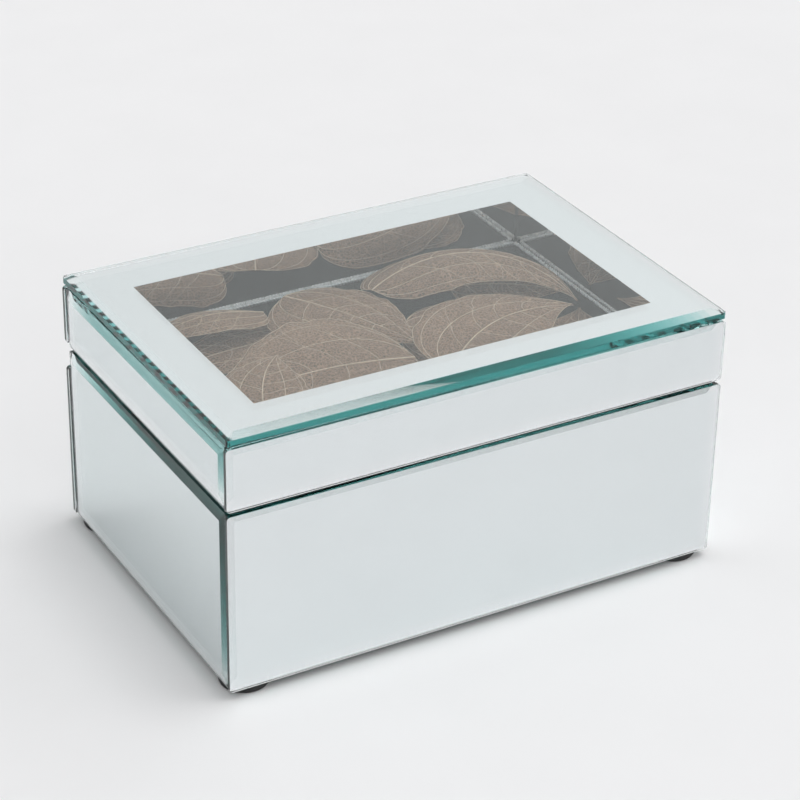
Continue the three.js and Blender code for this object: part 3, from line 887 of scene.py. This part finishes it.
@dataclass
class SkeletonLeaf:
    """One veined leaf: a thin netted blade, its ribs, and a paler rim.

    Middle is the height of the blade's middle over its layout. Between the ribs the blade bulges by quilt,
    and towards its edge it waves and curls. Lateral is the spacing of its bulges across it.
    """

    lay: LeafLay
    room: TrayRoom
    number: int
    steps: int = 56
    columns: int = 26
    thickness_mm: float = 0.16
    middle_mm: float = -0.4
    lateral: float = 0.46
    stalk_mm: float = 1.1
    wave_mm: float = 0.3
    quilt_mm: float = 0.28
    curl_mm: float = 0.22
    branch_mm: tuple[float, float, float] = (0.24, 0.17, 0.13)

    def outline(self, share: float) -> float:
        """Half the blade's width, as a share of its widest, at a share of its length."""
        return max(math.sin(math.pi * share ** 0.62), 0.0) ** (0.76 + 0.5 * share ** 3)

    def midrib(self, share: float) -> tuple[float, float, float, float]:
        """Finds a place on the midrib.

        Args:
            share: The share of the blade's length.

        Returns:
            Its x, y and z in millimetres, and the midrib's heading there in radians.
        """
        start = math.radians(self.lay.heading)
        turn = math.radians(self.lay.bend) * share
        shortening = math.sin(turn / 2) / (turn / 2) if turn else 1.0
        reach = self.lay.length * share * shortening
        x = self.lay.x + reach * math.cos(start + turn / 2)
        y = self.lay.y + reach * math.sin(start + turn / 2)
        return x, y, self.lay.z + self.lay.lift * math.sin(math.pi * share), start + turn

    def ruffle(self, share: float, across: float) -> float:
        """Works out the slack between the ribs.

        Args:
            share: The share of the blade's length.
            across: The share of its half width.

        Returns:
            How far the blade stands off its plain shape, in millimetres.
        """
        phase = 1.7 * self.number
        wave = math.sin(9.0 * share + phase) * across * across
        quilt = abs(math.sin(math.pi * across / self.lateral)) * math.sin(math.pi * share)
        curl = math.sin(23.0 * share + 2.3 * phase) * across ** 4
        return self.wave_mm * wave + self.quilt_mm * quilt + self.curl_mm * curl

    def point(self, share: float, across: float, raised_mm: float = 0.0) -> Vector:
        """Finds a place on the blade.

        Args:
            share: How far along the blade, 0 at its stalk and 1 at its tip.
            across: How far from the midrib, from -1 to 1 at its edges.
            raised_mm: How far over the middle of the blade's thickness.

        Returns:
            The place, in metres.
        """
        x, y, z, heading = self.midrib(share)
        form = self.outline(share)
        half = max(self.lay.width / 2 * form, self.stalk_mm / 2)
        wavy = 1 + 0.018 * math.sin(31 * share + self.number) + 0.012 * math.sin(53 * share - self.number)
        offset = across * half * (wavy if abs(across) > 0.9 else 1.0)
        fall = self.lay.droop * across * across * form
        tip = math.tan(math.radians(self.lay.roll))
        height = z - fall + offset * tip + self.middle_mm + self.ruffle(share, across) + raised_mm
        stretch = self.room.stretch
        return Vector((
            MM * stretch.x * (x - offset * math.sin(heading)),
            MM * stretch.y * (y + offset * math.cos(heading)),
            self.room.floor + MM * stretch.z * height,
        ))

    def blade(self) -> bmesh.types.BMesh:
        """Makes the blade.

        Returns:
            A thin closed skin.
        """
        half = self.thickness_mm / 2
        rings = []
        for step in range(self.steps + 1):
            share = step / self.steps
            places = [2 * column / self.columns - 1 for column in range(self.columns + 1)]
            lower = [self.point(share, across, -half) for across in places]
            upper = [self.point(share, across, half) for across in reversed(places)]
            rings.append(lower + upper)
        return lofted(rings)

    def vein(self, start: tuple[float, float], end: tuple[float, float], width_mm: float, taper: float,
             bow: float = 0.0, count: int = 9) -> Line:
        """Makes one rib that lies on the blade.

        Args:
            start: Share and across where it starts.
            end: Share and across where it ends.
            width_mm: Its width at the start.
            taper: Its width at the end, as a share of that.
            bow: How far its middle bends towards the foot, as a share of the blade's length.
            count: Its points.

        Returns:
            The line that its rod follows.
        """
        points = []
        radii = []
        for i in range(count):
            t = i / (count - 1)
            share = start[0] + (end[0] - start[0]) * t - bow * math.sin(math.pi * t)
            across = start[1] + (end[1] - start[1]) * t
            points.append(self.point(share, across, self.thickness_mm / 2))
            radii.append(MM * width_mm / 2 * (1 + (taper - 1) * t))
        return Line(points, radii)

    def long_vein(self, rib: Rib, sign: int) -> Line:
        """Makes a rib that runs the length of the blade.

        Args:
            rib: How the rib runs.
            sign: The side of the midrib that it is on, -1 or 1.

        Returns:
            The line that its rod follows.
        """
        start = (rib.start[0], sign * rib.start[1])
        end = (rib.end[0], sign * rib.end[1])
        return self.vein(start, end, rib.width, rib.taper, count=rib.points)

    def veins(self) -> list[Line]:
        """Lays out the ribs: the midrib, the pairs that leave its foot, a few side ribs and the rim.

        Returns:
            The lines that their rods follow.
        """
        dice = random.Random(100 + self.number)
        lines = [self.long_vein(MIDRIB, 1)]
        for sign in (-1, 1):
            lines += [self.long_vein(rib, sign) for rib in (INNER_RIB, OUTER_RIB, RIM)]
            share = dice.uniform(0.12, 0.2)
            while share < 0.84:
                climb = dice.uniform(0.12, 0.17) * (1 - 0.45 * share)
                self.branch(lines, share, climb, sign, dice)
                share += dice.uniform(0.13, 0.2)
        return lines

    def branch(self, lines: list[Line], share: float, climb: float, sign: int, dice: random.Random) -> None:
        """Adds a side rib that forks once on its way to the rim.

        Args:
            lines: What the ribs are added to.
            share: How far along the midrib it leaves.
            climb: How much further along it reaches the fork.
            sign: Which side it runs to.
            dice: What its small differences come from.
        """
        fork = sign * dice.uniform(0.48, 0.62)
        end = min(share + climb * dice.uniform(1.75, 2.1), 0.985)
        trunk, upper, lower = self.branch_mm
        lines.append(self.vein((share, 0.0), (share + climb, fork), trunk, 0.7, 0.02))
        lines.append(self.vein((share + climb, fork), (end, sign * 0.96), upper, 0.6, 0.012))
        side = min(share + climb * dice.uniform(1.0, 1.25), 0.97)
        lines.append(self.vein((share + climb * 0.75, fork * 0.75), (side, sign * 0.95), lower, 0.6, -0.01))

    def build(self, maker: RodMaker) -> None:
        """Makes the leaf as one piece.

        Args:
            maker: What gives the ribs their round wall.
        """
        shape = self.blade()
        ribs = maker.mesh(self.veins())
        first = len(shape.faces)
        shape.from_mesh(ribs)
        shape.faces.ensure_lookup_table()
        for face in shape.faces[first:]:
            face.material_index = 1
        bpy.data.meshes.remove(ribs)
        leaf = as_object("leaf", shape, LEAF_SKIN, LEAF_VEIN, smooth=True)
        place_piece(leaf, f"veined_leaf_{self.number}", Body.LID, "dry_leaf", f"skeleton_leaf_{self.number}")


@dataclass
class LeafScatter:
    """All the leaves in the tray."""

    def build(self) -> None:
        """Makes each leaf where it lies."""
        room = TrayRoom.measured()
        maker = RodMaker(5, LEAF_VEIN)
        for number, lay in enumerate(LEAVES, start=1):
            SkeletonLeaf(lay, room, number).build(maker)


# ---------------------------------------------------------------------------------------------------
# Boards, cloth and small parts
# ---------------------------------------------------------------------------------------------------


@dataclass
class Boards:
    """The painted boards of the base and the rails of the lid."""

    def build(self) -> None:
        """Dresses the boards."""
        for side in Side:
            PAINT.dress(f"base_{side.word}_board", f"lid_{side.word}_rail")
        PAINT.dress("base_floor_board")


@dataclass
class WallLinings:
    """The velvet glued to the base's walls, which rolls outwards over the rim."""

    turn_steps: int = 6
    roll: float = 0.6 * MM
    rim_edge: float = 0.3 * MM

    def build(self) -> None:
        """Makes the four wall linings."""
        for side in Side:
            self.build_wall(side)

    def build_wall(self, side: Side) -> None:
        """Makes a wall's lining, which rolls outwards over the board's top edge.

        Args:
            side: The wall.
        """
        node = f"{side.word}_wall_lining"
        low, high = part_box(node)
        board_low, board_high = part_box(f"base_{side.word}_board")
        axis = 0 if side.value[0] else 1
        sign = side.value[axis]
        outer = abs(high[axis] if sign > 0 else low[axis])
        inner = abs(low[axis] if sign > 0 else high[axis])
        board_inner = abs(board_low[axis] if sign > 0 else board_high[axis])
        cloth = high.z - board_high.z - BOND
        board_face = board_inner - BOND
        radius = self.roll + cloth
        section = [(board_face, low.z), (inner, low.z), (inner, high.z - radius)]
        for i in range(self.turn_steps + 1):
            angle = math.pi / 2 * i / self.turn_steps
            section.append((inner + radius * (1 - math.cos(angle)), high.z - radius * (1 - math.sin(angle))))
        section += [(outer - self.rim_edge, high.z), (outer, high.z - self.rim_edge), (outer, high.z - cloth)]
        section += [(board_face, high.z - cloth)]
        other = 1 - axis
        longest = high[other] - low[other]
        ends = []
        for end in (-1, 1):
            ring = []
            for reach, z in section:
                place = Vector((0, 0, z))
                place[axis] = sign * reach
                place[other] = end * (longest / 2 - (outer - reach))
                ring.append(place)
            ends.append(ring)
        velvet = as_object("wall velvet", lofted(ends), VELVET)
        place_piece(velvet, f"{side.word}_wall_velvet", Body.BASE, "velvet", node)


@dataclass
class Undersides:
    """The cloth glued flat underneath: velvet under the lid, and felt under the base."""

    lid_edge: float = 0.3 * MM
    felt_edge: float = 0.25 * MM

    def build(self) -> None:
        """Makes the velvet under the lid, and then the felt."""
        self.build_lid_lining()
        self.build_felt()

    def build_lid_lining(self) -> None:
        """Makes the velvet under the lid, from the CAD lining with its edges rounded."""
        source = NODES["lid_underside_lining"].data
        shape = bmesh.new()
        shape.from_mesh(source)
        bmesh.ops.remove_doubles(shape, verts=shape.verts, dist=0.001 * MM)
        bmesh.ops.dissolve_limit(shape, angle_limit=math.radians(1), verts=shape.verts, edges=shape.edges)
        edges = [e for e in shape.edges if len(e.link_faces) == 2 and e.calc_face_angle() > 1]
        round_off(shape, edges, self.lid_edge)
        lining = as_object("lid velvet", shape, VELVET)
        place_piece(lining, "lid_underside_velvet", Body.LID, "velvet", "lid_underside_lining")

    def build_felt(self) -> None:
        """Makes the felt under the base."""
        low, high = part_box("underside_felt")
        shape = bmesh.new()
        add_block(shape, low, high, self.felt_edge)
        felt = as_object("felt", shape, FELT)
        place_piece(felt, "underside_felt_sheet", Body.BASE, "felt", "underside_felt")


@dataclass
class FloorPad:
    """The velvet pad on the base's floor, with piping sewn round its top edge.

    The top is crowned and nearly flat in its middle, and flatness says how sharply it falls at its edges.
    Slack is how far the velvet wanders from that. The grid is finest along the edges.
    """

    across: int = 88
    deep: int = 58
    shoulder: float = 0.9 * MM
    crown: float = 0.75 * MM
    flatness: int = 14
    slack: float = 0.12 * MM
    piping: float = 0.75 * MM
    piping_sides: int = 8
    corner: float = 3 * MM
    corner_steps: int = 8
    fill: float = 0.8

    def build(self) -> None:
        """Makes the pad and its piping as one piece."""
        low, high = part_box("floor_pad")
        middle = (low + high) / 2
        half = (high - low) / 2
        seam = high.z - self.shoulder
        shape = bmesh.new()
        self.add_body(shape, Vector((middle.x, middle.y, seam)), half, low.z)
        maker = RodMaker(self.piping_sides, VELVET)
        piping = maker.mesh([self.piping_line(middle, half, seam)])
        shape.from_mesh(piping)
        bpy.data.meshes.remove(piping)
        pad = as_object("pad", shape, VELVET, smooth=True)
        place_piece(pad, "piped_floor_pad", Body.BASE, "velvet", "floor_pad")

    def add_body(self, shape: bmesh.types.BMesh, middle: Vector, half: Vector, bottom: float) -> None:
        """Adds the pad without its piping.

        Args:
            shape: The bmesh to add to.
            middle: The middle of the pad, at its seam's height.
            half: Half the pad's size.
            bottom: The height of its underside.
        """
        top = self.grid(shape, middle, half, crowned=True)
        under = self.grid(shape, Vector((middle.x, middle.y, bottom)), half, crowned=False)
        for j in range(self.deep):
            for i in range(self.across):
                shape.faces.new((top[j][i], top[j][i + 1], top[j + 1][i + 1], top[j + 1][i]))
                shape.faces.new((under[j][i], under[j + 1][i], under[j + 1][i + 1], under[j][i + 1]))
        upper = self.border(top)
        lower = self.border(under)
        for i, (first, second) in enumerate(zip(upper, lower)):
            following = (i + 1) % len(upper)
            shape.faces.new((first, second, lower[following], upper[following]))
        bmesh.ops.recalc_face_normals(shape, faces=shape.faces)

    def rise(self, u: float, v: float) -> float:
        """Works out the crown's height.

        Args:
            u: The share of the pad's half width.
            v: The share of its half depth.

        Returns:
            How far the top stands over the seam.
        """
        edge = max(0.0, 1 - abs(u) ** self.flatness) * max(0.0, 1 - abs(v) ** self.flatness)
        slack = self.slack * math.sin(5 * u + 2 * v) * math.cos(4 * v - u)
        return self.crown * edge ** 0.5 + slack * edge

    def grid(self, shape: bmesh.types.BMesh, middle: Vector, half: Vector, crowned: bool) -> list[Row]:
        """Adds one grid of points.

        Args:
            shape: The bmesh to add to.
            middle: The grid's middle.
            half: Half the pad's size.
            crowned: True for the crowned top, and False for a flat grid.

        Returns:
            The grid's rows of points, from front to back.
        """
        rows = []
        for j in range(self.deep + 1):
            v = math.sin(math.pi / 2 * (2 * j / self.deep - 1))
            row = []
            for i in range(self.across + 1):
                u = math.sin(math.pi / 2 * (2 * i / self.across - 1))
                x = middle.x + u * (half.x - self.piping)
                y = middle.y + v * (half.y - self.piping)
                row.append(shape.verts.new((x, y, middle.z + (self.rise(u, v) if crowned else 0.0))))
            rows.append(row)
        return rows

    def border(self, rows: list[Row]) -> Row:
        """Finds a grid's outermost points.

        Args:
            rows: The grid's rows.

        Returns:
            The points, in order round it.
        """
        right = [row[-1] for row in rows[1:]]
        left = [row[0] for row in rows[1:-1]]
        return rows[0] + right + rows[-1][-2::-1] + left[::-1]

    def piping_line(self, middle: Vector, half: Vector, height: float) -> Line:
        """Lays out the piping.

        Args:
            middle: The pad's middle.
            half: Half the pad's size.
            height: The piping's height.

        Returns:
            A closed line with round corners.
        """
        radius = self.corner - self.piping
        points = []
        for quarter, (sx, sy) in enumerate(((1, 1), (-1, 1), (-1, -1), (1, -1))):
            for i in range(self.corner_steps + 1):
                angle = math.pi / 2 * (quarter + i / self.corner_steps)
                x = middle.x + sx * (half.x - self.corner) + radius * math.cos(angle)
                y = middle.y + sy * (half.y - self.corner) + radius * math.sin(angle)
                points.append(Vector((x, y, height)))
        return Line(points, [self.piping] * len(points), cyclic=True)


@dataclass
class Hinges:
    """Two steel stop hinges with their pins and screws."""

    def build(self) -> None:
        """Dresses the plates, pins and screws."""
        for hand in ("left", "right"):
            HINGE_STEEL.dress(f"{hand}_hinge_base_plate", f"{hand}_hinge_lid_plate", f"{hand}_hinge_pin")
            for number in (1, 2):
                SCREW_STEEL.dress(f"{hand}_hinge_base_screw_{number}", f"{hand}_hinge_lid_screw_{number}")


@dataclass
class Feet:
    """Four rubber feet."""

    def build(self) -> None:
        """Dresses the feet."""
        for end in ("front", "back"):
            for hand in ("left", "right"):
                RUBBER.dress(f"foot_{end}_{hand}")


# ---------------------------------------------------------------------------------------------------
# Studio
# ---------------------------------------------------------------------------------------------------


@dataclass
class Studio:
    """The pale floor, the soft light and the camera.

    Angles are in degrees. The camera looks at aim from the azimuth and elevation. The surround is as bright
    as horizon low down and as zenith high up, is tipped by to_right and to_back, and has one brighter key
    patch that is full inside its core and gone past its spread.
    """

    floor_half: float = 4.0
    azimuth: float = 29.847
    elevation: float = 29.147
    roll: float = 1.047
    distance: float = 1.31115
    aim: tuple[float, float, float] = (0.0644, 0.1031, 0.0035)
    lens: float = 118.75
    horizon: float = 0.857
    zenith: float = 0.587
    to_right: float = 0.237
    to_back: float = -0.144
    key: float = 6.68
    key_azimuth: float = -13.2
    key_elevation: float = 76.9
    key_core: float = 7.0
    key_spread: float = 12.0
    fade_low: float = 0.72
    fade_high: float = 0.98
    bounces: int = 64
    sensor_mm: float = 36.0
    far_clip: float = 100.0

    def build(self) -> None:
        """Sets up everything that isn't the box."""
        bpy.context.scene.view_settings.view_transform = "Standard"
        self.let_light_through_glass()
        self.build_floor()
        self.build_light()
        self.build_camera()

    def let_light_through_glass(self) -> None:
        """Lets light take the many turns inside a silvered pane that make its edges green."""
        paths = bpy.context.scene.cycles
        paths.max_bounces = self.bounces
        paths.glossy_bounces = self.bounces
        paths.transmission_bounces = self.bounces
        paths.transparent_max_bounces = self.bounces
        paths.blur_glossy = 0.0

    def build_floor(self) -> None:
        """Lays the floor."""
        shape = bmesh.new()
        bmesh.ops.create_grid(shape, x_segments=1, y_segments=1, size=self.floor_half)
        floor = as_object("studio_floor", shape, FLOOR)

    def build_light(self) -> None:
        """Makes a soft white surround, brightest in one broad patch above and to the right."""
        world = bpy.data.worlds.new("white_surround")
        bpy.context.scene.world = world
        world.use_nodes = True
        world.node_tree.nodes.clear()
        tree = Tree(world.node_tree)
        output = tree.add("ShaderNodeOutputWorld")
        direction = tree.add("ShaderNodeTexCoord").outputs["Generated"]
        across = tree.add("ShaderNodeSeparateXYZ", {0: direction}).outputs
        azimuth = math.radians(self.key_azimuth)
        elevation = math.radians(self.key_elevation)
        level = math.cos(elevation)
        towards_key = (math.cos(azimuth) * level, math.sin(azimuth) * level, math.sin(elevation))
        sockets = {0: direction, 1: towards_key}
        closeness = tree.add("ShaderNodeVectorMath", sockets, operation="DOT_PRODUCT").outputs["Value"]
        edge = math.cos(math.radians(self.key_spread))
        patch = tree.ramp(closeness, edge, math.cos(math.radians(self.key_core)))
        fade = tree.ramp(across["Z"], self.fade_low, self.fade_high)
        sky = tree.math("MULTIPLY_ADD", fade, self.zenith - self.horizon, self.horizon)
        sky = tree.math("MULTIPLY_ADD", across["X"], self.to_right, sky)
        sky = tree.math("MULTIPLY_ADD", across["Y"], self.to_back, sky)
        strength = tree.math("MULTIPLY_ADD", patch, self.key, sky)
        surround = tree.add("ShaderNodeBackground", {"Color": (1, 1, 1, 1), "Strength": strength})
        world.node_tree.links.new(surround.outputs[0], output.inputs[0])

    def build_camera(self) -> None:
        """Stands the camera at its angle."""
        azimuth = math.radians(self.azimuth)
        elevation = math.radians(self.elevation)
        roll = math.radians(self.roll)
        level = math.cos(elevation)
        forward = Vector((math.sin(azimuth) * level, math.cos(azimuth) * level, -math.sin(elevation)))
        right = forward.cross(Vector((0, 0, 1))).normalized()
        up = right.cross(forward)
        right, up = right * math.cos(roll) + up * math.sin(roll), up * math.cos(roll) - right * math.sin(roll)
        camera = bpy.data.cameras.new("camera")
        camera.lens = self.lens
        camera.sensor_width = self.sensor_mm
        camera.clip_end = self.far_clip
        holder = bpy.data.objects.new("camera", camera)
        bpy.context.scene.collection.objects.link(holder)
        matrix = Matrix((right, up, -forward)).transposed().to_4x4()
        matrix.translation = Vector(self.aim) - forward * self.distance
        holder.matrix_world = matrix
        bpy.context.scene.camera = holder


# ---------------------------------------------------------------------------------------------------


def main() -> None:
    """Builds and dresses the box, part by part, and then its studio."""
    logging.basicConfig(level=logging.INFO, format="%(name)s: %(message)s")
    Studio().build()
    for assembly in (
        MirrorCladding(Body.BASE),
        MirrorCladding(Body.LID),
        TopWindow(),
        Tray(),
        LeafScatter(),
        Boards(),
        WallLinings(),
        FloorPad(),
        Undersides(),
        Hinges(),
        Feet(),
    ):
        LOG.info("building %s", type(assembly).__name__)
        assembly.build()


if __name__ == "__main__":
    main()
